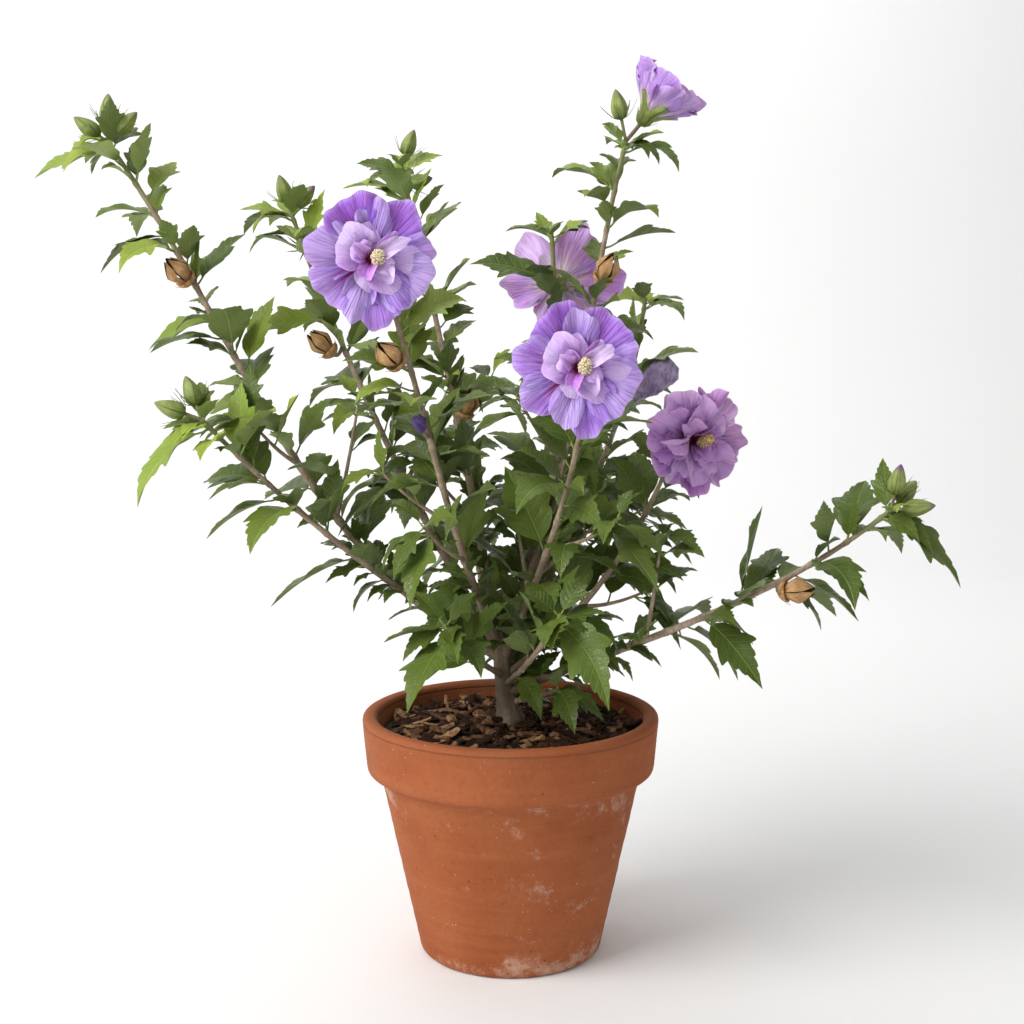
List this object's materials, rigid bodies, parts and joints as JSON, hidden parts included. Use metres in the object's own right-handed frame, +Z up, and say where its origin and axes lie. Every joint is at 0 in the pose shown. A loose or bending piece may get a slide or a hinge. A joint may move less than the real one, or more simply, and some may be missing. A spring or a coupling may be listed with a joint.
{
  "type": "hibiscus shrub",
  "caption": "Hibiscus shrub with lilac double flowers, lobed leaves, buds and dry seed pods on slender stems from a short trunk, in a rimmed clay pot filled with bark mulch",
  "frame": {"origin": "middle of the pot's flat underside, on the surface that the pot stands on", "axes": "+Z up along the pot's axis, +X to the right and +Y to the back of the shrub as seen from its front"},
  "size_m": [0.624, 0.3372, 0.633],
  "materials": {
    "terracotta": "matte",
    "soil": "matte",
    "bark": "satin",
    "foliage": "satin",
    "petals": "satin"
  },
  "bodies": {
    "root": {"bough_far_left": "bark", "bough_left_back": "bark", "bough_left_front": "bark", "bough_low_left": "bark", "bough_low_right": "bark", "bough_mid_back": "bark", "bough_mid_front": "bark", "bough_rear_left": "bark", "bough_rear_right": "bark", "bough_right_back": "bark", "bough_right_front": "bark", "bough_short_right": "bark", "bough_tall_right": "bark", "flower_behind": "petals", "flower_middle": "petals", "flower_right": "petals", "flower_top": "petals", "flower_upper_left": "petals", "flower_withered": "petals", "foliage_far_left": "foliage", "foliage_left_back": "foliage", "foliage_left_front": "foliage", "foliage_low_front_left": "foliage", "foliage_low_front_right": "foliage", "foliage_low_left": "foliage", "foliage_low_right": "foliage", "foliage_low_sprig": "foliage", "foliage_mid_back": "foliage", "foliage_mid_front": "foliage", "foliage_rear_left": "foliage", "foliage_rear_right": "foliage", "foliage_right_back": "foliage", "foliage_right_front": "foliage", "foliage_short_right": "foliage", "foliage_tall_right": "foliage", "pot": "terracotta", "soil": "soil", "trunk": "bark"}
  },
  "joints": []
}
